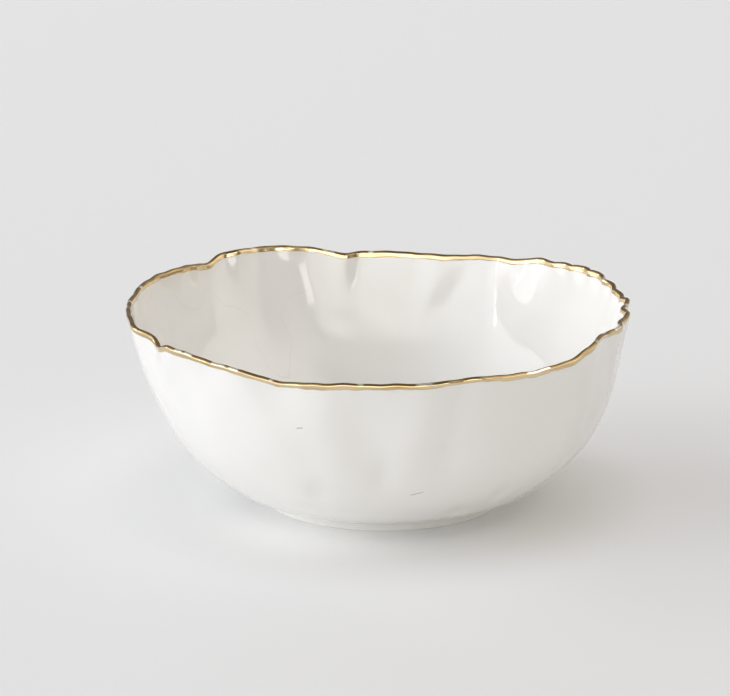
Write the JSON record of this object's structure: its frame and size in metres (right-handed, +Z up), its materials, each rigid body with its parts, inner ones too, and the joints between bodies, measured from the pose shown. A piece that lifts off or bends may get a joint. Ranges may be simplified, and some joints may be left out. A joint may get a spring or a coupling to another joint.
{
  "type": "serving bowl",
  "caption": "Wide round porcelain serving bowl on a low foot ring, with softly fluted walls and a wavy gilt lip.",
  "frame": {"origin": "on the table, under the middle of the bowl's whole width and depth; the foot's centre is 2.7 mm to the +X side", "axes": "+Z up through the open mouth; +X to the viewer's right and +Y away from the viewer, with the low dip of the lip on the -Y side"},
  "size_m": [0.2514, 0.2516, 0.1009],
  "materials": {
    "glazed_porcelain": "glossy clear glaze on white bone china",
    "fired_gold": "bright fired gold, slightly streaky from the brush",
    "foot_porcelain": "glazed sides with a bare polished tread"
  },
  "bodies": {
    "root": {"bowl_body": "glazed_porcelain", "gold_rim": "fired_gold", "foot_ring": "foot_porcelain"}
  },
  "joints": []
}
